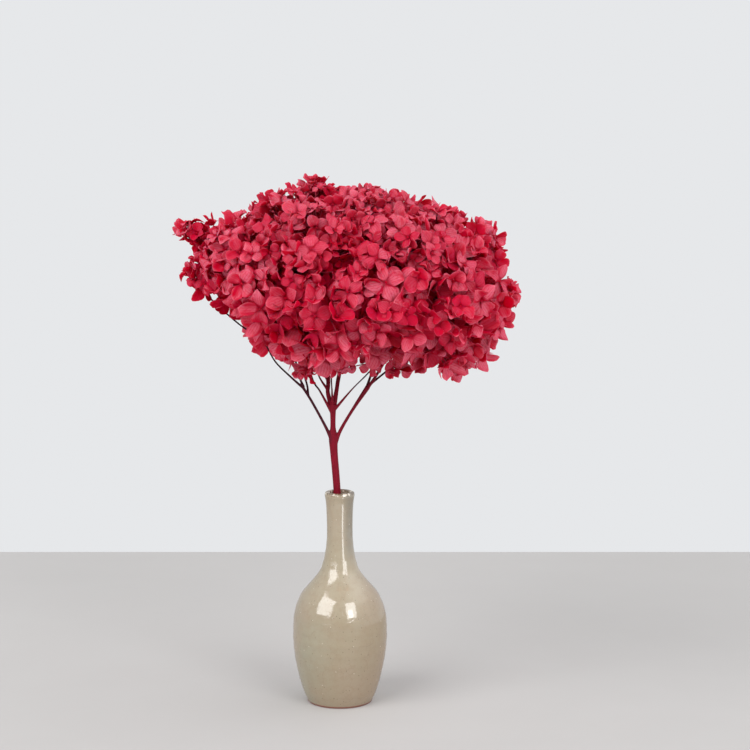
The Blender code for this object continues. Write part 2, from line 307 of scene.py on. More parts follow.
@dataclass(frozen=True)
class Glaze:
    """A glossy khaki stoneware glaze: fine crackle, pinholes, a worn lip, a bare clay foot line, a painted
    sheen on the shoulder and painted shade on the neck's right side.
    """

    body: Colour = (0.325, 0.264, 0.172)
    rose: Colour = (0.350, 0.276, 0.190)
    green: Colour = (0.328, 0.304, 0.214)
    green_at: Place = (("X", 4 * MM, -30 * MM),)
    thin: Colour = (0.394, 0.336, 0.236)  # a painted sheen on the shoulder, where light from above reflects
    shoulder_sheen_at: Place = (("Z", 54 * MM, 80 * MM), ("Z", 152 * MM, 84 * MM), ("X", 26 * MM, 10 * MM))
    shoulder_sheen_share: float = 0.75
    neck_shade: Colour = (0.225, 0.198, 0.150)  # painted shade on the neck's right side
    neck_shade_at: Place = (("Z", 88 * MM, 108 * MM), ("X", 0.0, 7 * MM))
    neck_shade_share: float = 0.85
    rust: Colour = (0.290, 0.195, 0.112)
    rust_low_at: Place = (("Z", 52 * MM, 2 * MM),)
    rust_low_share: float = 0.45
    rust_right_at: Place = (("X", 6 * MM, 32 * MM),)
    rust_right_share: float = 0.85
    mottle_share: float = 0.22
    craze: Colour = (0.205, 0.148, 0.090)
    craze_share: float = 0.16
    fine_share: float = 0.06
    speck: Colour = (0.115, 0.085, 0.045)
    pinhole: Colour = (0.720, 0.650, 0.550)
    worn: Colour = (0.800, 0.740, 0.620)
    brown: Colour = (0.130, 0.085, 0.050)
    clay: Colour = (0.260, 0.080, 0.045)
    cloud: float = 34 * MM
    craze_cell: float = 4.6 * MM
    craze_line: Band = (0.045, 0.012)
    fine_cell: float = 1.9 * MM
    fine_line: Band = (0.07, 0.02)
    dot: float = 0.36 * MM
    speck_gap: float = 2.0 * MM
    pinhole_gap: float = 2.9 * MM
    clay_line: float = 1.5 * MM
    lip: float = 139.2 * MM
    roughness: float = 0.09
    relief: float = 0.10 * MM

    def material(self) -> bpy.types.Material:
        """Mixes the glaze.

        Returns:
            The glaze's material.
        """
        paint = Paint("khaki_glaze")
        place = paint.place()
        height = paint.along(place, "Z")
        cloud = paint.noise(place, self.cloud)
        rusty = paint.within(place, self.rust_low_at) * self.rust_low_share
        rusty = rusty + paint.within(place, self.rust_right_at) * self.rust_right_share
        mottle = paint.noise(place, 4.5 * MM, 4.0, 0.6).step(0.40, 0.68)
        bent = paint.warped(place, 12 * MM, 1.5 * MM)
        patchy = paint.noise(place, 9 * MM).step(0.42, 0.62)
        craze = paint.cells(bent, self.craze_cell, "DISTANCE_TO_EDGE", "Distance", 0.75)
        craze = craze.step(*self.craze_line) * patchy
        fine = paint.cells(bent, self.fine_cell, "DISTANCE_TO_EDGE", "Distance", 0.6).step(*self.fine_line)
        specks = paint.dots(place, self.speck_gap, self.dot, 0.34)
        pinholes = paint.dots(place, self.pinhole_gap, self.dot, 0.28)
        grain = paint.noise(place, 1.6 * MM, 2.0)
        wear = paint.noise(place, 3.2 * MM, 2.0)
        rim = height.step(self.lip - 1.4 * MM, self.lip + 0.1 * MM)
        bare = (height + grain * 0.9 * MM).step(self.clay_line + 0.5 * MM, self.clay_line + 0.1 * MM)
        colour = paint.layers(
            self.body,
            (cloud.step(0.38, 0.66), self.rose),
            (paint.within(place, self.green_at) * cloud.step(0.7, 0.35), self.green),
            # A painted sheen on the shoulder, standing for light from above reflected there
            (paint.within(place, self.shoulder_sheen_at) * self.shoulder_sheen_share, self.thin),
            # Painted shade on the neck's right side
            (paint.within(place, self.neck_shade_at) * self.neck_shade_share, self.neck_shade),
            (rusty * cloud, self.rust),
            (mottle * self.mottle_share, self.rust),
            (craze * self.craze_share + fine * self.fine_share, self.craze),
            (specks * 0.8, self.speck),
            (pinholes * 0.7, self.pinhole),
            (rim * wear.step(0.50, 0.42) * 0.75, self.brown),
            (rim * wear.step(0.52, 0.60) * grain.step(0.36, 0.52), self.worn),
            (bare, self.clay),
        )
        swell = paint.noise(place, 5 * MM, 2.0)
        relief = 0.5 + swell * 0.3 - craze * 0.25 - pinholes * 0.4 + specks * 0.1
        return paint.done(
            Base_Color=colour,
            Roughness=self.roughness + bare * 0.6 + craze * 0.12 + rim * 0.10,
            Normal=paint.bump(relief, self.relief),
            IOR=1.6,
            Specular_IOR_Level=0.9,
        )


@dataclass(frozen=True)
class Bark:
    """Dyed bark: crimson on the main shoots and near black on the thin twigs, with fine ridges."""

    shoot: Colour = (0.175, 0.002, 0.012)
    pale: Colour = (0.310, 0.006, 0.028)
    pale_share: float = 0.6
    twig: Colour = (0.032, 0.006, 0.013)
    pith: Colour = (0.420, 0.120, 0.100)
    pith_share: float = 0.35
    streak: float = 0.7 * MM
    pore_gap: float = 1.7 * MM
    pore: float = 0.2 * MM
    roughness: float = 0.55
    relief: float = 0.22 * MM

    def material(self) -> bpy.types.Material:
        """Mixes the bark.

        Returns:
            The bark's material, which reads each point's darkness from the mesh.
        """
        paint = Paint("crimson_bark")
        place = paint.place()
        streaks = paint.noise(paint.drawn_out(place, 0.12), self.streak, 4.0, 0.6)
        patches = paint.noise(paint.drawn_out(place, 0.4), 4 * MM)
        pores = paint.dots(paint.drawn_out(place, 0.45), self.pore_gap, self.pore, 0.3)
        dark = paint.attribute("darkness") + patches * 0.3 - 0.15
        colour = paint.layers(
            self.shoot,
            (streaks.step(0.40, 0.72) * self.pale_share, self.pale),
            (dark.step(0.05, 0.95), self.twig),
            (pores * self.pith_share, self.pith),
        )
        return paint.done(
            Base_Color=colour,
            Roughness=self.roughness + streaks * 0.2,
            Normal=paint.bump(streaks * 0.7 + pores * 0.5, self.relief),
            Specular_IOR_Level=0.15,
        )


@dataclass(frozen=True)
class Petal:
    """Dyed, preserved sepals: crimson, with fine veins and a dark heart; a paler rim of thinner edges and
    painted highlight; painted light and shade, paler where light falls and deeper crimson in the shade.
    """

    crimson: Colour = (0.475, 0.0018, 0.034)
    crimson_share: float = 0.25
    # A paler pink: the sepals' own tone, shown only where painted light falls
    pale: Colour = (0.650, 0.126, 0.186)
    pale_tones: Band = (-0.12, 0.78)
    pale_fade: float = 3.2  # how soon the painted shade takes the paleness
    crown: Band = (280 * MM, 335 * MM)  # the heights where the head is painted lighter, as light falls on its top
    crown_painted_light: float = 0.35
    crown_open: float = 0.5  # how much of the painted shade the crown loses
    # The hem: the heights where the head's underside is painted lighter and loses painted shade, as light
    # comes up from below
    hem: Band = (258 * MM, 222 * MM)
    hem_painted_light: float = 0.40
    hem_open: float = 0.3
    dusty: Colour = (0.585, 0.070, 0.120)
    dust_patch: float = 30 * MM
    dust_share: float = 0.5
    # How soon the painted shade takes the dusty pink
    dust_fade: float = 2.0
    deep: Colour = (0.530, 0.0006, 0.021)
    # How far the painted shade turns a sepal deep crimson
    painted_shade_share: float = 0.85
    vein_share: float = 0.50
    rib_share: float = 0.16
    heart: Colour = (0.220, 0.001, 0.012)
    heart_share: float = 0.80
    # The paler rim: thinner edges, and a painted highlight where light catches them
    rim: Colour = (0.860, 0.260, 0.330)
    thin_edge_and_highlight_share: float = 0.35
    veins: int = 3
    ribs: float = 22.0
    roughness: float = 0.55
    relief: float = 0.25 * MM
    glow: float = 0.60
    glow_reach: float = 0.9 * MM
    glow_tint: Colour = (1.0, 0.08, 0.14)

    def material(self) -> bpy.types.Material:
        """Mixes the sepals' colour.

        Returns:
            The sepals' material, which reads each one's own UV map, painted shade and tone.
        """
        paint = Paint("dyed_sepal")
        place = paint.place()
        sheet = paint.node("ShaderNodeUVMap", uv_map="sepal")
        across = paint.along(sheet, "X") * 2.0 - 1.0
        along = paint.along(sheet, "Y")
        fibre = paint.noise(place, 1.4 * MM, 3.0)
        crinkle = paint.noise(place, 4 * MM, 2.0)
        crown = paint.along(place, "Z").step(*self.crown)
        hem = paint.along(place, "Z").step(*self.hem)
        # The painted shade kept on the mesh, lifted on the crown and the hem as painted light
        shade = paint.attribute("shade") * (1.0 - crown * self.crown_open - hem * self.hem_open)
        paleness = paint.attribute("tone").step(*self.pale_tones) * (0.70 + along * 0.35)
        paleness = paleness + crown * self.crown_painted_light + hem * self.hem_painted_light
        dust = paint.noise(place, self.dust_patch).step(0.52, 0.74) * self.dust_share
        wave = ((across + fibre * 0.14) * (math.pi * self.veins)).sine()
        vein = abs(wave).step(0.55, 0.05) * along.step(0.04, 0.25) * along.step(1.0, 0.75)
        rib = (along * self.ribs - abs(across) * 9.0 + fibre * 3.0).sine().step(0.55, 0.95)
        edge = abs(across).maths("MAXIMUM", abs(across), abs(along * 2.0 - 1.0))
        colour = paint.layers(
            self.crimson,
            # Paler tones show only where painted light falls; the painted shade takes them
            (paleness * (1.0 - shade) ** self.pale_fade, self.pale),
            (dust * (1.0 - shade) ** self.dust_fade, self.dusty),
            (crinkle.step(0.45, 0.65) * self.crimson_share, self.crimson),
            (vein * self.vein_share + rib * self.rib_share, self.deep),
            # Paler rim: thinner edges and a painted highlight
            (edge.step(0.84, 0.98) * fibre.step(0.35, 0.75) * self.thin_edge_and_highlight_share, self.rim),
            (along.step(0.26, 0.03) * self.heart_share, self.heart),
            # Painted shade: deep crimson where florets crowd before a sepal and on sides turned from the
            # light
            (shade * self.painted_shade_share, self.deep),
        )
        relief = fibre * 0.3 + crinkle * 0.8 - vein * 0.5 - rib * 0.15
        return paint.done(
            Base_Color=colour,
            Roughness=self.roughness + fibre * 0.2,
            Normal=paint.bump(relief, self.relief),
            Subsurface_Weight=self.glow,
            Subsurface_Radius=self.glow_tint,
            Subsurface_Scale=self.glow_reach,
            Specular_IOR_Level=0.03,
        )


@dataclass(frozen=True)
class Stalk:
    """The thin stalks inside the head, dyed with the sepals."""

    red: Colour = (0.480, 0.010, 0.045)
    dark: Colour = (0.110, 0.006, 0.016)
    streak: float = 2.5 * MM
    roughness: float = 0.55
    relief: float = 0.1 * MM

    def material(self) -> bpy.types.Material:
        """Mixes the stalks' colour.

        Returns:
            The stalks' material.
        """
        paint = Paint("dyed_stalk")
        streaks = paint.noise(paint.drawn_out(paint.place(), 0.3), self.streak)
        return paint.done(
            Base_Color=paint.blend(streaks.step(0.38, 0.66), self.red, self.dark),
            Roughness=self.roughness + streaks * 0.2,
            Normal=paint.bump(streaks, self.relief),
        )


@dataclass(frozen=True)
class Tabletop:
    """A plain pale matt surface."""

    grey: Colour = (0.506, 0.490, 0.479)
    pale: Colour = (0.58, 0.57, 0.56)
    pale_share: float = 0.10
    patch: float = 60 * MM
    roughness: float = 0.75

    def material(self) -> bpy.types.Material:
        """Mixes the tabletop's colour.

        Returns:
            The tabletop's material.
        """
        paint = Paint("pale_tabletop")
        patches = paint.noise(paint.place(), self.patch, 5.0, 0.6).step(0.30, 0.75)
        colour = paint.blend(patches * self.pale_share, self.grey, self.pale)
        return paint.done(Base_Color=colour, Roughness=self.roughness)


def catmull_rom(points: Iterable[Sequence[float]], steps: int) -> list[Vector]:
    """A smooth line through points of any length.

    Args:
        points: The points, which the line passes through.
        steps: The pieces between each pair.

    Returns:
        The line's points.
    """
    points = [Vector(point) for point in points]
    ends = [points[0] * 2 - points[1], *points, points[-1] * 2 - points[-2]]
    line = []
    for before, start, end, after in zip(ends, ends[1:], ends[2:], ends[3:]):
        slope = end - before
        sag = 2 * before - 5 * start + 4 * end - after
        twist = 3 * start - before - 3 * end + after
        for step in range(steps):
            t = step / steps
            line.append(0.5 * (2 * start + slope * t + sag * t**2 + twist * t**3))
    line.append(points[-1])
    return line


def smooth_share(value: float, low: float, high: float) -> float:
    """How far a value is from low to high, eased at both ends, from 0 to 1."""
    t = min(1.0, max(0.0, (value - low) / (high - low)))
    return t * t * (3 - 2 * t)


def lerp(start: float, end: float, share: float) -> float:
    """The number that lies this share of the way from start to end."""
    return start + (end - start) * share


def scattered(draw: random.Random, amount: float) -> Vector:
    """A random push of up to this amount along each axis."""
    return Vector((draw.uniform(-1, 1), draw.uniform(-1, 1), draw.uniform(-1, 1))) * amount


def leaning(tilt: float, turn: float) -> Vector:
    """The direction that leans by tilt off +Z, turned by turn about it."""
    return Vector((math.sin(tilt) * math.cos(turn), math.sin(tilt) * math.sin(turn), math.cos(tilt)))


def tree_of(points: Sequence[Vector]) -> KDTree:
    """Makes a tree that finds the nearest of some points.

    Args:
        points: The points.

    Returns:
        The tree, which knows each point by its place in the list.
    """
    tree = KDTree(len(points))
    for index, point in enumerate(points):
        tree.insert(point, index)
    tree.balance()
    return tree


def in_scene(name: str, data: bpy.types.ID) -> bpy.types.Object:
    """Makes an object and puts it in the scene.

    Args:
        name: The object's name.
        data: Its mesh, light or camera.

    Returns:
        The object.
    """
    made = bpy.data.objects.new(name, data)
    bpy.context.scene.collection.objects.link(made)
    return made


def new_object(name: str, bm: bmesh.types.BMesh) -> bpy.types.Object:
    """Makes an object of its own from a bmesh, which is then freed.

    Args:
        name: The object's name.
        bm: The bmesh.

    Returns:
        The object, in the scene.
    """
    mesh = bpy.data.meshes.new(name)
    bm.to_mesh(mesh)
    bm.free()
    return in_scene(name, mesh)


def apply_modifiers(piece: bpy.types.Object) -> None:
    """Turns a piece's modifiers into its mesh.

    Args:
        piece: The piece, which keeps none of them.
    """
    bpy.context.view_layer.update()
    graph = bpy.context.evaluated_depsgraph_get()
    shaped = bpy.data.meshes.new_from_object(piece.evaluated_get(graph))
    piece.modifiers.clear()
    piece.data = shaped


def fuse(base: bpy.types.Object, others: Sequence[bpy.types.Object]) -> None:
    """Joins closed solids to another in one union, and removes them.

    Args:
        base: The solid that they become part of.
        others: The solids to join to it.
    """
    group = bpy.data.collections.new(base.name + "_group")
    for other in others:
        group.objects.link(other)
    union = base.modifiers.new("union", "BOOLEAN")
    union.operation = "UNION"
    union.operand_type = "COLLECTION"
    union.collection = group
    union.solver = "MANIFOLD"
    apply_modifiers(base)
    for other in others:
        bpy.data.objects.remove(other)
    bpy.data.collections.remove(group)


def gather(name: str, parts: Sequence[bpy.types.Object]) -> bpy.types.Object:
    """Puts loose parts in one object, and removes them.

    Args:
        name: The object's name.
        parts: The parts, the first of which takes up the others.

    Returns:
        The object.
    """
    first = parts[0]
    with bpy.context.temp_override(
        active_object=first, object=first, selected_objects=parts, selected_editable_objects=parts
    ):
        bpy.ops.object.join()
    first.name = name
    first.data.name = name
    return first


def dress(
    piece: bpy.types.Object, material: bpy.types.Material, node: Node, sharp: float
) -> bpy.types.Object:
    """Finishes a piece and puts it in the frame.

    Args:
        piece: The piece.
        material: Its only material.
        node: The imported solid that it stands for.
        sharp: The angle in degrees past which an edge stays sharp.

    Returns:
        The piece.
    """
    piece.data.materials.clear()
    piece.data.materials.append(material)
    piece.data.shade_smooth()
    piece.data.set_sharp_from_angle(angle=math.radians(sharp))
    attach(piece, BODY)
    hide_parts(node.value)
    LOG.info("%s: %d triangles", piece.name, sum(len(face.vertices) - 2 for face in piece.data.polygons))
    return piece


def ring(bm: bmesh.types.BMesh, sides: int, radius: float, place: Matrix) -> list[bmesh.types.BMEdge]:
    """The edges of a new circle."""
    verts = bmesh.ops.create_circle(bm, segments=sides, radius=radius, matrix=place)["verts"]
    return list({edge for vert in verts for edge in vert.link_edges})


def tube(name: str, line: Sequence[Vector], radii: Sequence[float], sides: int) -> bpy.types.Object:
    """A closed round tube along a line.

    Args:
        name: The object's name.
        line: The points that its middle passes through.
        radii: Its radius at each point.
        sides: How many sides it has.

    Returns:
        The tube.
    """
    bm = bmesh.new()
    across = Vector((1, 0, 0))
    rings: list[list[bmesh.types.BMEdge]] = []
    for index, point in enumerate(line):
        ahead = (line[min(index + 1, len(line) - 1)] - line[max(index - 1, 0)]).normalized()
        across = (across - ahead * across.dot(ahead)).normalized()
        turn = Matrix((across, ahead.cross(across), ahead)).transposed().to_4x4()
        rings.append(ring(bm, sides, radii[index], Matrix.Translation(point) @ turn))
        if index > 0:
            bmesh.ops.bridge_loops(bm, edges=rings[-2] + rings[-1])
    bmesh.ops.holes_fill(bm, edges=rings[0] + rings[-1])
    bmesh.ops.recalc_face_normals(bm, faces=bm.faces)
    return new_object(name, bm)


def tapered(name: str, line: Sequence[Vector], ends: Band, sides: int) -> bpy.types.Object:
    """A tube whose radius runs evenly from the first of its ends to the second."""
    last = len(line) - 1
    return tube(name, line, [lerp(*ends, index / last) for index in range(len(line))], sides)


@dataclass
class BottleVase:
    """A hand-turned bottle vase with a narrow neck, rolled lip and flat foot."""

    height: float = 140 * MM
    foot_radius: float = 21.5 * MM
    foot_chamfer: float = 0.8 * MM
    belly_radius: float = 30.8 * MM
    belly_height: float = 48 * MM
    neck_radius: float = 8.5 * MM
    neck_height: float = 118 * MM
    lip_radius: float = 9.8 * MM
    lip_drop: float = 2 * MM  # from the top to where the lip starts to roll
    mouth_radius: float = 6.3 * MM
    bore_radius: float = 5.6 * MM
    bore_top: float = 128 * MM
    bore_foot: float = 108 * MM
    hollow_top: float = 106 * MM  # between these heights the hollow follows the outer wall
    hollow_foot: float = 9 * MM
    wall: float = 3.2 * MM
    floor: float = 6 * MM
    sides: int = 112
    line_steps: int = 6
    lip_steps: int = 4
    wobble: float = 0.12 * MM  # how far the turned wall strays from round

    def outside(self) -> list[Vector]:
        """Draws the outer wall from foot to lip.

        Returns:
            Its points as (radius, height).
        """
        return catmull_rom(
            (
                (self.foot_radius, self.foot_chamfer),
                (25.3 * MM, 10.5 * MM), (28.9 * MM, 26 * MM), (30.5 * MM, 38 * MM),
                (self.belly_radius, self.belly_height),
                (29.8 * MM, 60 * MM), (25.6 * MM, 71.5 * MM), (18.4 * MM, 80.5 * MM),
                (12.9 * MM, 88 * MM), (10.0 * MM, 98 * MM), (8.7 * MM, 108 * MM),
                (self.neck_radius, self.neck_height),
                (8.9 * MM, 131 * MM),
                (self.lip_radius, self.height - self.lip_drop),
            ),
            self.line_steps,
        )

    def outline(self) -> list[Vector]:
        """Draws the whole section, from the middle of the foot round to the inner floor.

        Returns:
            Its points as (radius, height).
        """
        lip_middle = (self.lip_radius + self.mouth_radius) / 2
        outside = self.outside()
        lip = catmull_rom(
            (
                outside[-1],
                (lip_middle + 1.3 * MM, self.height - 0.5 * MM),
                (lip_middle, self.height),
                (self.mouth_radius + 0.5 * MM, self.height - 0.5 * MM),
                (self.mouth_radius, self.height - 1.7 * MM),
                (self.bore_radius, self.bore_top),
                (self.bore_radius, self.bore_foot),
            ),
            self.lip_steps,
        )
        hollow = [
            Vector((max(point.x - self.wall, self.bore_radius), point.y))
            for point in reversed(outside)
            if self.hollow_foot < point.y < self.hollow_top
        ]
        base = [
            Vector((self.foot_radius - self.wall, self.floor + 1.5 * MM)),
            Vector((self.foot_radius - 2 * self.wall, self.floor)),
            Vector((0, self.floor)),
        ]
        foot = [Vector((0, 0)), Vector((self.foot_radius - self.foot_chamfer, 0))]
        return [*foot, *outside, *lip[1:], *hollow, *base]

    def build(self) -> bpy.types.Object:
        """Turns the vase as one shell.

        Returns:
            The vase.
        """
        bm = bmesh.new()
        verts = [bm.verts.new((point.x, 0, point.y)) for point in self.outline()]
        edges = [bm.edges.new(pair) for pair in zip(verts, verts[1:])]
        bmesh.ops.spin(
            bm, geom=verts + edges, cent=(0, 0, 0), axis=(0, 0, 1),
            angle=math.tau, steps=self.sides, use_merge=True,
        )
        bmesh.ops.remove_doubles(bm, verts=bm.verts, dist=0.01 * MM)
        bmesh.ops.recalc_face_normals(bm, faces=bm.faces)
        for vert in bm.verts:
            self.stray(vert)
        return dress(new_object("bottle_vase", bm), Glaze().material(), Node.VASE, sharp=50)

    def stray(self, vert: bmesh.types.BMVert) -> None:
        """Moves a point of the wall by the unevenness that a turning hand leaves.

        Args:
            vert: The point.
        """
        x, y, z = vert.co
        turn = math.atan2(y, x)
        away = smooth_share(z, 4 * MM, 20 * MM) * smooth_share(z, self.height - 8 * MM, 90 * MM)
        lift = math.sin(2 * turn + z * 40)  # the throwing, an oval that turns as it rises
        lift += 0.5 * math.sin(3 * turn - z * 95) + 0.6 * math.sin(z * 900)  # and fingers' marks
        radius = math.hypot(x, y) or 1.0
        scale = 1 + self.wobble * away * lift / radius
        vert.co = Vector((x * scale, y * scale, z))


@dataclass(frozen=True)
class Branch:
    """A branch: how dark its root and tip are, and its route as (x, y, z, radius) in millimetres."""

    root_dark: float
    tip_dark: float
    route: tuple[tuple[float, float, float, float], ...]


@dataclass
class ForkedStem:
    """The woody stem: a main shoot with two limbs, and the twigs that run up into the head."""

    voxel: float = 0.33 * MM
    main_sides: int = 18
    twig_sides: int = 12
    route_steps: int = 6
    smoothing: int = 6
    tips_above: float = 245 * MM
    dark_steps: int = 12
    dark_reach: float = 0.5  # the share of a branch over which its darkness changes
    dark_blend: float = 0.2 * MM
    dark_near: int = 4  # how many marks near a point give its darkness

    BRANCHES = {
        "main": Branch(0.0, 0.1, (
            (6.6, -2.6, 6.5, 2.2), (2.3, 0.2, 72, 2.3), (-1.7, 3.1, 139.5, 2.4), (-3.6, 3.3, 164, 2.5),
            (-4.2, 3.4, 175, 2.9), (-4.3, 3.4, 182, 1.8), (-4.3, 3.4, 191, 1.9), (-4.4, 3.5, 197, 2.5),
        )),
        "left_limb": Branch(0.45, 0.75, (
            (-4.4, 3.4, 172, 1.5), (-9.4, 2.5, 183, 1), (-18, 0.7, 199.4, 0.9), (-24, -1.5, 209.6, 1),
        )),
        "left_outer": Branch(0.75, 1.0, (
            (-22.9, -1.2, 208, 0.9), (-31.8, -4, 216.5, 0.7), (-41.1, -9, 226.9, 0.6),
            (-49.1, -13, 241.2, 0.6), (-63, -14, 251, 0.6), (-79.1, -10, 264.6, 0.6), (-90, -5, 275, 0.6),
        )),
        "left_inner": Branch(0.75, 0.95, (
            (-23, -1.4, 209, 0.9), (-26, -4, 217, 0.7), (-28.5, -10, 231, 0.7), (-32, -18, 254, 0.7),
        )),
        "left_middle": Branch(0.7, 0.95, (
            (-20.2, 0, 203.4, 0.9), (-21.6, 3, 212, 0.7), (-29, 10, 230, 0.7), (-40, 20, 254, 0.7),
        )),
        "right_limb": Branch(0.1, 0.3, (
            (-3.2, 3.4, 170, 1.6), (0.5, 3, 179.8, 1.2), (8.6, 2, 193.8, 1.1), (18.4, -0.3, 209, 1.7),
        )),
        "right_front": Branch(0.25, 0.4, (
            (18, -0.2, 208, 1.2), (23.2, -2.5, 215.8, 1.0), (33, -10, 234, 0.8), (40, -20, 254, 0.7),
        )),
        "right_outer": Branch(0.6, 0.95, (
            (20, -0.6, 211, 1.0), (27.9, 0, 217.1, 0.7), (46, 4, 232, 0.7), (60, 6, 254, 0.7),
        )),
        "right_back": Branch(0.4, 0.7, (
            (15.4, 0.4, 203.9, 1.1), (18.6, 3.4, 211, 0.9), (25, 13, 230, 0.7), (32, 26, 254, 0.7),
        )),
        "left_ray": Branch(0.0, 0.2, (
            (-4.8, 3.5, 194, 1.9), (-7.6, 5, 204.5, 1.4), (-7.4, 8, 213.5, 1.4), (-9, 20, 254, 1.0),
        )),
        "left_spur": Branch(0.15, 0.7, (
            (-7.8, 5, 206.4, 1.0), (-13.4, 2, 216, 0.6), (-18, -4, 232, 0.6), (-20, -14, 254, 0.6),
        )),
        "upper_spur": Branch(0.15, 0.6, (
            (-7.4, 7.4, 211.6, 1.1), (-11.5, 9, 219.5, 0.8), (-18, 14, 234, 0.7), (-24, 30, 254, 0.7),
        )),
        "left_twig": Branch(0.05, 0.8, (
            (-5.2, 3.2, 192, 1.2), (-12.5, -1, 206.2, 0.7), (-18, -5, 217, 0.7), (-24, -34, 254, 0.6),
        )),
        "middle_twig": Branch(0.05, 0.7, (
            (-4.5, 3, 196, 1.2), (-4.8, -1, 207, 0.6), (-4.9, -7, 219, 0.6), (-2, -30, 252, 0.6),
        )),
        "right_ray": Branch(0.0, 0.2, (
            (-3.8, 3.5, 194.9, 1.9), (-1.8, 7, 206.7, 1.4), (-0.2, 10.5, 216, 1.4), (8, 24, 254, 1.0),
        )),
        "right_twig": Branch(0.1, 1.0, (
            (-3.2, 3.1, 193.6, 1.1), (8.5, -2, 208, 0.55), (18.2, -6, 218.4, 0.55), (25, -10, 228, 0.6),
            (30, -18, 254, 0.6),
        )),
    }

    def tips(self) -> list[Vector]:
        """Where each twig ends inside the head."""
        ends = [Vector(branch.route[-1]).xyz * MM for branch in self.BRANCHES.values()]
        return [end for end in ends if end.z > self.tips_above]

    def shoot(self, name: str, branch: Branch) -> bpy.types.Object:
        """Makes one branch as a closed tapering tube.

        Args:
            name: The branch's name in BRANCHES.
            branch: The branch.

        Returns:
            The tube.
        """
        line = catmull_rom(branch.route, self.route_steps)
        sides = self.main_sides if name == "main" else self.twig_sides
        middles = [point.xyz * MM for point in line]
        return tube("shoot_" + name, middles, [point.w * MM for point in line], sides)

    def build(self) -> bpy.types.Object:
        """Fuses the branches, and smooths their forks as they grew.

        Returns:
            The stem.
        """
        shoots = [self.shoot(name, branch) for name, branch in self.BRANCHES.items()]
        stem = shoots[0]
        fuse(stem, shoots[1:])
        remesh = stem.modifiers.new("grown", "REMESH")
        remesh.mode = "VOXEL"
        remesh.voxel_size = self.voxel
        soften = stem.modifiers.new("soften", "SMOOTH")
        soften.factor = 0.5
        soften.iterations = self.smoothing
        apply_modifiers(stem)
        stem.name = "forked_stem"
        self.darken(stem.data)
        return dress(stem, Bark().material(), Node.STEM, sharp=75)

    def darken(self, mesh: bpy.types.Mesh) -> None:
        """Gives each point the darkness of the branch that it lies on.

        Args:
            mesh: The stem's mesh.
        """
        marks = []
        for branch in self.BRANCHES.values():
            line = catmull_rom(branch.route, self.dark_steps)
            for index, point in enumerate(line):
                share = smooth_share(index / len(line), 0.0, self.dark_reach)
                marks.append((point.xyz * MM, lerp(branch.root_dark, branch.tip_dark, share)))
        tree = tree_of([point for point, _ in marks])
        shades = []
        for vert in mesh.vertices:
            near = tree.find_n(vert.co, self.dark_near)
            weights = [1 / (distance + self.dark_blend) for _, _, distance in near]
            shade = sum(marks[index][1] * weight for (_, index, _), weight in zip(near, weights))
            shades.append(shade / sum(weights))
        layer = mesh.attributes.new("darkness", "FLOAT", "POINT")
        layer.data.foreach_set("value", shades)


@dataclass(frozen=True)
class Mound:
    """A swelling of the head, or a hollow where lift is below 0."""

    towards: tuple[float, float, float]
    lift: float  # as a share of the head's reach there
    width: float  # degrees


@dataclass(frozen=True)
class Cyme:
    """A small dome of florets that share a stalk: where they part, and the way the dome faces."""

    node: Vector
    outward: Vector
    dome: float
    floret_radius: float
    free: bool  # whether it may stand past the head's outline


@dataclass(frozen=True)
class Floret:
    """One floret's place in the head."""

    index: int
    node: Vector
    middle: Vector
    facing: Vector
    radius: float


@dataclass(frozen=True)
class SepalForm:
    """One sepal: its length and width in metres, its cup in radians, and the rest as shares."""

    length: float
    width: float
    cup: float
    curl: float
    edge_lift: float
    keel: float
    ripple: float
    phase: float
    tip: float

    FOOT_WIDTH = 0.60  # as a share of the sepal's widest
    WIDENS = (-0.05, 0.50)  # between these shares of its length
    NARROWS = (0.5, 1.0)
    TIP_TAPER = 1.6
    POINT_START = 0.7  # the share of its length past which the tip is drawn out
    EDGE_FOOT = 0.3  # how much the edges lift at the foot, where at the tip it is 1 more
    EDGE_SHARE = 0.6  # of edge_lift
    WAVES = 3  # ripples round the edge
    WAVE_GROWTH = 1.5  # how steeply they grow outwards
    WAVE_BREADTH = 0.7  # and how far they move the edge sideways

    def bend(self, point: Vector) -> Vector:
        """Bends a point of the flat square sheet to its place on the sepal, which grows along +Y.

        Args:
            point: The sheet's point, with x and y from -1 to 1 and z in metres.

        Returns:
            The point's place in metres.
        """
        side = point.x * math.sqrt(1 - point.y**2 / 2)
        out = point.y * math.sqrt(1 - point.x**2 / 2)
        share = (out + 1) / 2
        turn = math.atan2(side, out) * self.WAVES
        taper = lerp(self.FOOT_WIDTH, 1.0, smooth_share(share, *self.WIDENS))
        taper *= 1 - self.TIP_TAPER * self.tip * smooth_share(share, *self.NARROWS)
        taper *= 1 + self.ripple * self.WAVE_BREADTH * math.sin(turn + 5 * self.phase)
        far = max(0.0, (share - self.POINT_START) / (1 - self.POINT_START))
        along = share + self.tip * far * far * max(0.0, 1 - abs(side) * 2)
        rise = math.sin(self.cup) * along + self.curl * along * along
        rise += self.edge_lift * side * side * (self.EDGE_FOOT + share) * self.EDGE_SHARE
        rise -= self.keel * (1 - abs(side)) * share
        rise += self.ripple * math.sin(turn + self.phase) * (side * side + out * out) ** self.WAVE_GROWTH
        forward = self.length * along * math.cos(self.cup)
        return Vector((side * taper * self.width / 2, forward, self.length * rise + point.z))


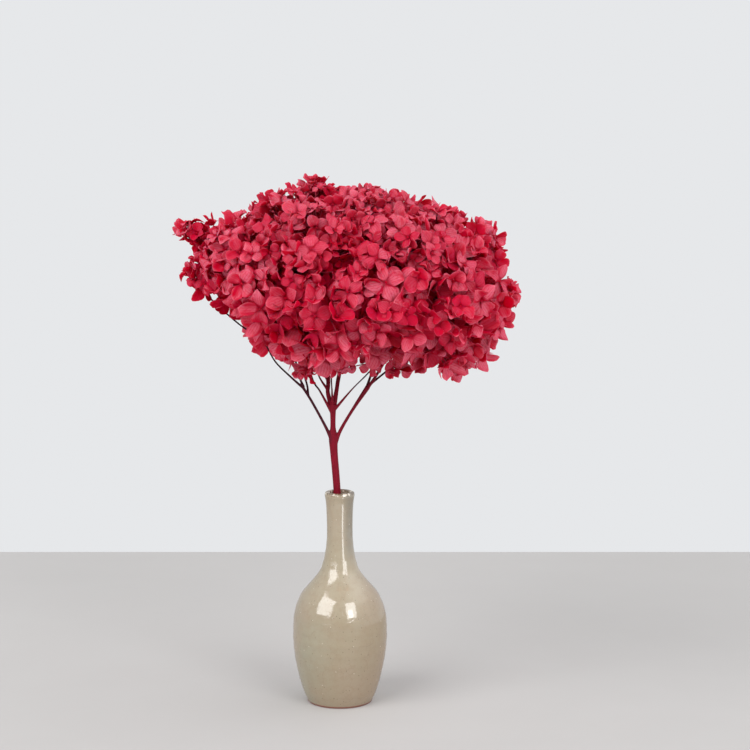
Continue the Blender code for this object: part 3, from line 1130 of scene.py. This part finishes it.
@dataclass
class FlowerHead:
    """The hydrangea's head: cymes of florets over a lumpy dome, on stalks that fan from the twigs."""

    stem: ForkedStem
    centre: Vector = Vector((6 * MM, 0.0, 273 * MM)).freeze()
    reach_side: float = 98 * MM
    reach_depth: float = 88 * MM
    reach_up: float = 62 * MM
    inset: float = 5.6 * MM  # from the outline to the florets' middles
    lowest: float = -0.86
    hem_height: float = 214 * MM
    upturn: float = 26 * MM
    cyme_count: int = 92
    cyme_jitter: float = 0.07  # how far a cyme's direction strays along each axis
    deepest: float = 11 * MM  # how far a cyme's top may lie under the head's surface
    highest: float = 1 * MM  # and how far above it
    deep_few: float = 2.2  # above 1, fewer cymes lie deep than near the surface
    cyme_depth: float = 19 * MM
    dome_range: Band = (0.9, 1.12)
    dome_spread: float = 78.0
    tries_per_cyme: int = 60
    turn_stray: float = 0.3  # how far a floret strays round its dome, in radians
    depth_range: Band = (0.62, 1.12)  # where a floret stands, as a share of its dome's depth
    size_range: Band = (0.76, 1.16)
    stand_out: float = 2.5 * MM  # how far a floret may stand out of the head's surface
    large_floret: float = 11.8 * MM
    small_floret: float = 8.4 * MM
    floret_gap: float = 0.84  # between florets, as a share of their radius
    spray_gap: float = 0.66  # the same in a spray
    dome_facing: float = 0.8  # what a floret's facing takes from its dome and from the head's middle
    outward_facing: float = 0.3
    lean: float = 0.85  # how far it leans by chance
    sunward: float = 0.35  # how far it turns to the light
    inner_jitter: float = 0.10  # as cyme_jitter, for the florets inside the head
    inner_range: Band = (0.9, 1.05)
    inner_lean: float = 0.3
    shade_reach: float = 15 * MM  # how far before a sepal others shade it
    shade_ball: float = 0.85  # the radius looked through there, as a share of that
    shade_range: Band = (-0.1, 2.4)
    shade_at: float = 0.6  # the share of a sepal's length where its shade is taken
    mound_shade: float = 7.0  # how much deeper a hollow is shaded than a swelling
    turned_away: float = 0.22  # how much of its paleness a sepal keeps on the side away from the light
    lit_range: Band = (-0.05, 0.92)
    four_share: float = 0.94  # the share of the florets with four sepals
    sepal_cuts: int = 4
    sepal_thickness: float = 0.28 * MM
    sepal_length: Band = (0.88, 1.08)  # as a share of the floret's radius
    sepal_width: Band = (0.70, 1.0)  # as a share of the sepal's length
    cup_angles: Band = (62, -4)  # degrees, of a cupped floret and of a flat one
    cup_stray: float = 14  # degrees
    curl_range: Band = (-0.50, 0.28)
    edge_range: Band = (-0.50, 0.70)
    keel_range: Band = (0.0, 0.14)
    ripple_range: Band = (0.03, 0.13)
    tip_range: Band = (-0.03, 0.12)
    sepal_turn: float = 0.14  # how far a sepal strays from its place round the bead, in radians
    sepal_lean: float = 0.22
    sepal_gap: float = 0.5 * MM  # from the floret's middle to the sepal
    overlap: float = 0.45 * MM  # how much higher every second sepal lies
    tone_stray: float = 0.2
    bead: float = 0.9 * MM
    bead_height: float = 0.7 * MM
    bead_shade: float = 0.6
    bead_tone: float = 0.2
    floret_stalk_radii: Band = (0.5 * MM, 0.34 * MM)
    floret_stalk_end: float = 0.4 * MM  # behind the floret's middle
    floret_stalk_run: float = 6 * MM  # how far it runs straight up to there
    floret_stalk_bow: float = 0.12
    cyme_stalk_radii: Band = (0.75 * MM, 0.55 * MM)
    cyme_stalk_bow: float = 6 * MM
    side_width: float = 36 * MM  # from the head's middle to where its left and right pieces start
    seed: int = 23

    SKY = Vector((-0.12, -0.62, 0.28))  # where most light comes from

    # Florets inside the head: share of its reach, how many, and their size as a share of the largest
    INNER_LAYERS = ((0.88, 200, 0.9), (0.77, 230, 1.0), (0.52, 165, 1.3), (0.22, 30, 1.5))

    # How far the head reaches from its centre as seen from in front, in millimetres: every ten
    # degrees, from the right over the top and round by the left
    OUTLINE = (
        108, 103, 103, 97, 82, 75, 70, 71, 72, 72, 74, 77,
        79, 81, 86, 95, 103, 98, 97, 78, 69, 67, 65, 57,
        58, 59, 56, 43, 47, 53, 61, 63, 86, 104, 101, 111,
    )

    MOUNDS = (
        Mound((0.05, -0.95, -0.20), 0.04, 26),
        Mound((-0.08, -0.86, 0.44), -0.12, 19),
        Mound((-0.75, -0.65, 0.02), 0.05, 13),
        Mound((-0.52, -0.82, -0.22), -0.09, 13),
        Mound((0.74, -0.62, 0.0), 0.06, 15),
        Mound((-0.50, 0.85, 0.20), 0.06, 24),
        Mound((0.50, 0.85, 0.05), 0.05, 26),
        Mound((-0.05, 0.90, 0.40), -0.05, 14),
    )

    # Small cymes that stand out past the dome: the top's (x, y, z), the dome's depth and the florets'
    # radius, all in millimetres
    SPRAYS = (
        (-100, -6, 312, 5, 9.5), (-88, 2, 309, 7, 9), (-94, -12, 285, 7, 9.5), (-88, -14, 280, 7, 9.5),
        (-17, 0, 341, 6, 7.2), (21, 0, 336, 7, 7.2), (95, -10, 309, 9, 8.5), (110, -14, 271, 8, 9),
        (100, -8, 253, 8, 10), (90, 18, 241, 10, 10), (-36, -24, 238, 7, 9), (-23, -20, 219, 6, 8.5),
        (1, -20, 225, 6, 8.5), (25, -25, 231, 7, 9.5), (41, -20, 226, 7, 9.5), (76, -15, 224, 7, 9.5),
    )

    # Those that fill what the others leave open, placed last
    FILLERS = ((-93, -5, 311, 5, 8.5), (-84, -6, 304, 7, 9), (99, -8, 308, 6, 8.5))

    def outline(self, towards: Vector) -> float:
        """How far the head reaches beside its centre as seen from in front.

        Args:
            towards: The direction, whose depth is left out.

        Returns:
            The distance in metres.
        """
        count = len(self.OUTLINE)
        turn = math.atan2(towards.z, towards.x) % math.tau / math.tau * count
        index = int(turn) % count
        return lerp(self.OUTLINE[index], self.OUTLINE[(index + 1) % count], turn - int(turn)) * MM

    def inside_outline(self, point: Vector, spare: float) -> bool:
        """Whether a point shows inside the head's outline from the camera, with this much to spare."""
        shown = EYE + (point - EYE) * (EYE.y / (EYE.y - point.y)) - self.centre
        return math.hypot(shown.x, shown.z) < self.outline(shown) - spare

    def reach(self, direction: Vector) -> float:
        """How far the head's surface lies from its centre.

        Args:
            direction: The direction from the centre, one long.

        Returns:
            The distance in metres.
        """
        beside = self.outline(direction) - self.inset
        flat = math.hypot(direction.x, direction.z)
        return (1 + self.swell(direction)) / math.hypot(flat / beside, direction.y / self.reach_depth)

    def swell(self, direction: Vector) -> float:
        """How much the mounds lift the head's surface.

        Args:
            direction: The direction from the centre.

        Returns:
            The lift as a share of the reach there.
        """
        lift = 0.0
        for mound in self.MOUNDS:
            angle = direction.angle(Vector(mound.towards))
            lift += mound.lift * math.exp(-((angle / math.radians(mound.width)) ** 2))
        return lift

    def directions(self, count: int, draw: random.Random, jitter: float) -> list[Vector]:
        """Spreads directions evenly over the head's surface, from the top down to its hem.

        Args:
            count: How many.
            draw: The random numbers.
            jitter: How far each strays along each axis.

        Returns:
            The directions.
        """
        spread = []
        for index in range(count):
            height = 1 - (1 - self.lowest) * (index + 0.5) / count
            flat = math.sqrt(max(0.0, 1 - height * height))
            angle = GOLDEN_ANGLE * index
            side = flat * math.cos(angle) * self.reach_side
            depth = flat * math.sin(angle) * self.reach_depth
            point = Vector((side, depth, height * self.reach_up)).normalized()
            spread.append((point + scattered(draw, jitter)).normalized())
        return spread

    def floret_size(self, point: Vector) -> float:
        """A floret's radius at this place: small on the crown and large below."""
        share = smooth_share(point.z, self.centre.z - 5 * MM, self.centre.z + self.reach_up * 0.75)
        return lerp(self.large_floret, self.small_floret, share)

    def cymes(self) -> list[Cyme]:
        """Spreads the cymes over the head.

        Returns:
            The cymes, in the order that they open in.
        """
        draw = random.Random(self.seed)
        over = []
        for direction in self.directions(self.cyme_count, draw, self.cyme_jitter):
            sunk = self.deepest * draw.random() ** self.deep_few - self.highest
            top = self.centre + direction * (self.reach(direction) - sunk)
            outward = (top - self.centre + Vector((0, 0, self.upturn))).normalized()
            size = self.floret_size(top)
            dome = self.cyme_depth * draw.uniform(*self.dome_range)
            over.append(Cyme(top - outward * dome, outward, dome, size, False))
        sprays = [self.spray(*sizes) for sizes in self.SPRAYS]
        fillers = [self.spray(*sizes) for sizes in self.FILLERS]
        return sprays + over + fillers

    def spray(self, x: float, y: float, z: float, dome: float, size: float) -> Cyme:
        """A small cyme that stands past the dome.

        Args:
            x: Its top's place in millimetres, across.
            y: The same, in depth.
            z: The same, in height.
            dome: Its dome's depth in millimetres.
            size: Its florets' radius in millimetres.

        Returns:
            The cyme.
        """
        top = Vector((x, y, z)) * MM
        upturn = self.upturn if top.z < self.centre.z else 0
        outward = (top - self.centre + Vector((0, 0, upturn))).normalized()
        return Cyme(top - outward * dome * MM, outward, dome * MM, size * MM, True)

    def florets(self, cymes: Sequence[Cyme]) -> list[Floret]:
        """Places all florets: those over the domes, and deeper ones between them.

        Args:
            cymes: The cymes, in the order that they open in.

        Returns:
            The florets.
        """
        placed: list[Floret] = []
        for index, cyme in enumerate(cymes):
            self.open_cyme(cyme, random.Random(self.seed * 500 + index), placed)
        draw = random.Random(self.seed + 1)
        for share, count, size in self.INNER_LAYERS:
            for direction in self.directions(count, draw, self.inner_jitter):
                reach = self.reach(direction) * share * draw.uniform(*self.inner_range)
                middle = self.centre + direction * reach
                if not self.fits(middle, 2 * self.inset, self.floret_gap * self.small_floret, placed):
                    continue
                facing = (direction + scattered(draw, self.inner_lean)).normalized()
                node = middle - direction * self.cyme_depth
                placed.append(Floret(len(placed), node, middle, facing, self.large_floret * size))
        return placed

    def fits(self, point: Vector, spare: float, apart: float, placed: Sequence[Floret]) -> bool:
        """Whether a floret has room at a point.

        Args:
            point: The floret's middle.
            spare: How far inside the head's outline it has to show.
            apart: How far it has to keep from the others.
            placed: The others.

        Returns:
            Whether all of it holds, and the point lies above the hem.
        """
        if point.z < self.hem_height or not self.inside_outline(point, spare):
            return False
        return all((point - other.middle).length > apart for other in placed)

    def open_cyme(self, cyme: Cyme, draw: random.Random, placed: list[Floret]) -> None:
        """Adds a cyme's florets over its dome, none crowding another.

        Args:
            cyme: The cyme.
            draw: Its own random numbers.
            placed: The florets so far, which it adds to.
        """
        gap = self.spray_gap if cyme.free else self.floret_gap
        spare = -math.inf if cyme.free else self.inset
        for attempt in range(self.tries_per_cyme):
            tilt = math.radians(self.dome_spread) * math.sqrt((attempt + 0.5) / self.tries_per_cyme)
            turn = GOLDEN_ANGLE * attempt + draw.uniform(-self.turn_stray, self.turn_stray)
            normal = cyme.outward.to_track_quat("Z", "Y") @ leaning(tilt, turn)
            middle = cyme.node + normal * cyme.dome * draw.uniform(*self.depth_range)
            radius = cyme.floret_radius * draw.uniform(*self.size_range)
            outwards = (middle - self.centre).normalized()
            deep = self.reach(outwards) - (middle - self.centre).length
            if not cyme.free and deep < -self.stand_out:
                continue
            if not self.fits(middle, spare, gap * radius, placed):
                continue
            facing = normal * self.dome_facing + outwards * self.outward_facing
            facing = facing + scattered(draw, self.lean) + self.SKY * self.sunward
            placed.append(Floret(len(placed), cyme.node, middle, facing.normalized(), radius))

    def open_way(self, point: Vector) -> Vector:
        """The way that light comes from at a point of the head: outwards, and from the sky."""
        return ((point - self.centre).normalized() + self.SKY).normalized()

    def shade(self, point: Vector, crowd: KDTree) -> float:
        """How crowded the florets stand before a point, which sets the shade painted into the sepals.

        Args:
            point: The point.
            crowd: The florets' middles.

        Returns:
            0 in the open and 1 deep in the head.
        """
        before = point + self.open_way(point) * self.shade_reach
        near = crowd.find_range(before, self.shade_reach * self.shade_ball)
        cover = sum(1 - distance / self.shade_reach for _, _, distance in near)
        cover -= self.swell(point - self.centre) * self.mound_shade
        return smooth_share(cover, *self.shade_range)

    def sepal_sheet(self) -> bpy.types.Mesh:
        """Makes a flat square sepal with a wall and its own UV map.

        Returns:
            The sheet, which every sepal is bent from.
        """
        bm = bmesh.new()
        bmesh.ops.create_grid(bm, x_segments=self.sepal_cuts, y_segments=self.sepal_cuts, size=1)
        layer = bm.loops.layers.uv.new("sepal")
        bmesh.ops.solidify(bm, geom=bm.faces[:], thickness=self.sepal_thickness)
        for face in bm.faces:
            for loop in face.loops:
                loop[layer].uv = ((loop.vert.co.x + 1) / 2, (loop.vert.co.y + 1) / 2)
        bmesh.ops.recalc_face_normals(bm, faces=bm.faces)
        sheet = bpy.data.meshes.new("sepal_sheet")
        bm.to_mesh(sheet)
        bm.free()
        return sheet

    def sepal_form(self, floret: Floret, openness: float, draw: random.Random) -> SepalForm:
        """Draws one sepal's curves.

        Args:
            floret: The floret that it belongs to.
            openness: 0 for a cupped floret and 1 for a flat one.
            draw: The floret's own random numbers.

        Returns:
            The sepal's form.
        """
        length = floret.radius * draw.uniform(*self.sepal_length)
        width = length * draw.uniform(*self.sepal_width)
        cup = lerp(*self.cup_angles, openness) + draw.uniform(-self.cup_stray, self.cup_stray)
        return SepalForm(
            length=length,
            width=width,
            cup=math.radians(cup),
            curl=draw.uniform(*self.curl_range),
            edge_lift=draw.uniform(*self.edge_range),
            keel=draw.uniform(*self.keel_range),
            ripple=draw.uniform(*self.ripple_range),
            phase=draw.uniform(0, math.tau),
            tip=draw.uniform(*self.tip_range),
        )

    def open_floret(self, floret: Floret, sheet: bpy.types.Mesh, crowd: KDTree) -> bpy.types.Object:
        """Makes one floret: its sepals round a small bead.

        Args:
            floret: Its place.
            sheet: The flat sepal.
            crowd: All florets' middles.

        Returns:
            The floret's own object, with its painted shade and its tone kept on its points.
        """
        draw = random.Random(self.seed * 1000 + floret.index)
        openness = draw.uniform(0.0, 1.0)
        tone = draw.random()
        bm = bmesh.new()
        shades = bm.verts.layers.float.new("shade")
        tones = bm.verts.layers.float.new("tone")
        count = 4 if draw.random() < self.four_share else draw.choice((3, 5))
        facing = floret.facing.to_track_quat("Z", "Y").to_matrix().to_4x4()
        spin = Matrix.Rotation(draw.uniform(0, math.tau), 4, "Z")
        place = Matrix.Translation(floret.middle) @ facing @ spin
        for index in range(count):
            start = len(bm.verts)
            bm.from_mesh(sheet)
            bm.verts.ensure_lookup_table()
            form = self.sepal_form(floret, openness, draw)
            stray = draw.uniform(-self.sepal_turn, self.sepal_turn)
            turn = Matrix.Rotation(math.tau * index / count + stray, 4, "Z")
            lean = Matrix.Rotation(draw.uniform(-self.sepal_lean, self.sepal_lean), 4, "Y")
            lift = Matrix.Translation((0, self.sepal_gap, (index % 2) * self.overlap))
            own = min(1.0, max(0.0, tone + draw.uniform(-self.tone_stray, self.tone_stray)))
            sunk = self.shade(place @ turn @ Vector((0, form.length * self.shade_at, 0)), crowd)
            for vert in bm.verts[start:]:
                vert.co = turn @ lift @ lean @ form.bend(vert.co)
                vert[shades] = sunk
                vert[tones] = own
        raised = Matrix.Translation((0, 0, self.bead_height))
        bead = bmesh.ops.create_icosphere(bm, subdivisions=1, radius=self.bead, matrix=raised)
        for vert in bead["verts"]:
            vert[shades] = self.bead_shade
            vert[tones] = self.bead_tone
        bmesh.ops.transform(bm, matrix=place, verts=bm.verts)
        bm.normal_update()
        way = self.open_way(floret.middle)
        # Painted shade: a sepal's side turned from the light keeps less of its paleness
        for vert in bm.verts:
            lit = lerp(self.turned_away, 1.0, smooth_share(vert.normal.dot(way), *self.lit_range))
            vert[shades] = 1 - (1 - vert[shades]) * lit
        return new_object(f"floret_{floret.index}", bm)

    def floret_stalk(self, floret: Floret) -> bpy.types.Object:
        """Makes the thin curved stalk from the cyme's parting to a floret's back.

        Args:
            floret: The floret.

        Returns:
            The stalk.
        """
        base = floret.middle - floret.facing * self.floret_stalk_end
        pull = base - floret.facing * self.floret_stalk_run - floret.node
        bow = (floret.node + base) / 2 + pull * self.floret_stalk_bow
        line = catmull_rom((floret.node, bow, base), steps=2)
        return tapered(f"stalk_{floret.index}", line, self.floret_stalk_radii, sides=5)

    def cyme_stalk(self, index: int, cyme: Cyme) -> bpy.types.Object:
        """Makes the stalk from the nearest twig's tip to a cyme's parting.

        Args:
            index: The cyme's number.
            cyme: The cyme.

        Returns:
            The stalk.
        """
        tip = min(self.stem.tips(), key=lambda end: (end - cyme.node).length)
        middle = (tip + cyme.node) / 2
        bow = middle + (self.centre - middle).normalized() * self.cyme_stalk_bow
        line = catmull_rom((tip, bow, cyme.node), steps=4)
        return tapered(f"cyme_stalk_{index}", line, self.cyme_stalk_radii, sides=6)

    def side(self, floret: Floret) -> str:
        """Finds the side of the head that a floret belongs to.

        Args:
            floret: The floret.

        Returns:
            The side's name.
        """
        across = floret.middle.x - self.centre.x
        middle = "front" if floret.middle.y < 0 else "back"
        return "left" if across < -self.side_width else "right" if across > self.side_width else middle

    def build(self) -> list[bpy.types.Object]:
        """Makes the head.

        Returns:
            Its pieces: the florets by side, and the stalks.
        """
        cymes = self.cymes()
        florets = self.florets(cymes)
        LOG.info("%d cymes, %d florets", len(cymes), len(florets))
        sheet = self.sepal_sheet()
        crowd = tree_of([floret.middle for floret in florets])
        sides: dict[str, list[bpy.types.Object]] = {"left": [], "front": [], "back": [], "right": []}
        for floret in florets:
            sides[self.side(floret)].append(self.open_floret(floret, sheet, crowd))
        bpy.data.meshes.remove(sheet)
        petal = Petal().material()
        pieces = []
        for side, parts in sides.items():
            piece = gather(f"florets_{side}", parts)
            pieces.append(dress(piece, petal, Node.HEAD, sharp=65))
        stalks = [self.floret_stalk(floret) for floret in florets]
        stalks += [self.cyme_stalk(index, cyme) for index, cyme in enumerate(cymes)]
        piece = gather("cyme_stalks", stalks)
        pieces.append(dress(piece, Stalk().material(), Node.HEAD, sharp=75))
        return pieces


@dataclass(frozen=True)
class Window:
    """A tall soft window of light, by where it stands as seen from the vase."""

    name: str
    turn: float  # degrees from straight in front, positive to the right
    low: float  # the lowest and highest angle above the table, in degrees
    high: float
    breadth: float  # degrees across
    radiance: float
    distance: float = 3.0


@dataclass(frozen=True)
class Glow:
    """Light that one side of the room adds: its strength, and the directions that it comes from."""

    strength: float
    bands: Place


@dataclass
class Studio:
    """The camera, the soft light and the pale tabletop."""

    focal_pixels: float = 2126.0
    frame_pixels: float = 750.0
    sensor: float = 36.0
    pitch: float = 8.295
    table_back: float = 0.430
    table_front: float = 0.28
    table_half: float = 0.50
    wall: Colour = (0.793, 0.805, 0.822)
    front_light: float = 0.68  # as a share of the wall's colour, as the glows' strengths are
    aim: tuple[float, float, float] = (0.0, 0.0, 90 * MM)

    WINDOWS = (
        Window("left_window", -45.0, 16.0, 57.0, 40.0, 3.2),
        Window("right_window", 32.0, 11.0, 44.0, 26.0, 3.1),
        Window("neck_card", 26.0, -3.0, 13.0, 12.0, 3.0, 0.12),
    )
    AREA_POWER = 4.0  # watts for each square metre and unit of radiance

    GLOWS = (
        Glow(0.08, (("Y", -0.7, 0.7),)),  # behind
        Glow(0.02, (("Z", 0.15, 0.9),)),  # overhead
        Glow(0.90, (("Z", -0.05, -0.6),)),  # below
        Glow(0.46, (("X", 0.1, 0.9),)),  # on the right
        Glow(0.70, (("X", -0.1, 0.6), ("Z", 0.35, 0.75))),  # at the upper right
    )

    def camera(self) -> None:
        """Places the camera, at the photograph's angle."""
        data = bpy.data.cameras.new("camera")
        data.sensor_width = self.sensor
        data.lens = self.focal_pixels * self.sensor / self.frame_pixels
        camera = in_scene("camera", data)
        camera.location = EYE
        camera.rotation_euler = (math.radians(90 - self.pitch), 0, 0)
        bpy.context.scene.camera = camera

    def table(self) -> None:
        """Lays the tabletop, whose far edge meets the pale wall behind."""
        bm = bmesh.new()
        depth = self.table_front + self.table_back
        middle = Matrix.Translation((0, (self.table_back - self.table_front) / 2, 0))
        sizes = Matrix.Diagonal((self.table_half, depth / 2, 1, 1))
        bmesh.ops.create_grid(bm, x_segments=1, y_segments=1, size=1, matrix=middle @ sizes)
        table = new_object("tabletop", bm)
        table.data.materials.append(Tabletop().material())

    def light(self, window: Window) -> None:
        """Places one window of soft light.

        Args:
            window: The window.
        """
        data = bpy.data.lights.new(window.name, "AREA")
        data.shape = "RECTANGLE"
        data.size = 2 * window.distance * math.tan(math.radians(window.breadth / 2))
        data.size_y = 2 * window.distance * math.tan(math.radians((window.high - window.low) / 2))
        data.energy = self.AREA_POWER * data.size * data.size_y * window.radiance
        light = in_scene(window.name, data)
        rise = math.radians((window.low + window.high) / 2)
        towards = leaning(math.pi / 2 - rise, math.radians(window.turn - 90))
        light.location = Vector(self.aim) + towards * window.distance
        light.rotation_euler = towards.to_track_quat("Z", "Y").to_euler()
        light.visible_camera = False

    def surroundings(self) -> None:
        """Paints the pale room: an even wall, and light that is strongest from below and the right."""
        world = bpy.data.worlds.new("pale_room")
        bpy.context.scene.world = world
        world.use_nodes = True
        nodes = Nodes(world.node_tree)
        towards = nodes.node("ShaderNodeTexCoord", take="Generated")
        level: Value = self.front_light
        for glow in self.GLOWS:
            level = nodes.within(towards, glow.bands) * glow.strength + level
        seen = nodes.node("ShaderNodeLightPath", take="Is Camera Ray")
        room = nodes.node("ShaderNodeBackground", {"Color": self.wall, "Strength": level})
        wall = nodes.node("ShaderNodeBackground", {"Color": self.wall, "Strength": 1.0})
        shown = nodes.node("ShaderNodeMixShader", {0: seen, 1: room, 2: wall})
        nodes.end("ShaderNodeOutputWorld", shown)

    def build(self) -> None:
        """Sets up the whole studio."""
        self.camera()
        self.table()
        self.surroundings()
        for window in self.WINDOWS:
            self.light(window)
        bpy.context.scene.view_settings.view_transform = "Standard"
        LOG.info("studio: camera, %d windows and tabletop", len(self.WINDOWS))


def main() -> None:
    """Builds the vase, the stem, the head and the studio, in that order."""
    logging.basicConfig(level=logging.INFO, format="%(message)s")
    BottleVase().build()
    stem = ForkedStem()
    stem.build()
    FlowerHead(stem).build()
    Studio().build()


if __name__ == "__main__":
    main()
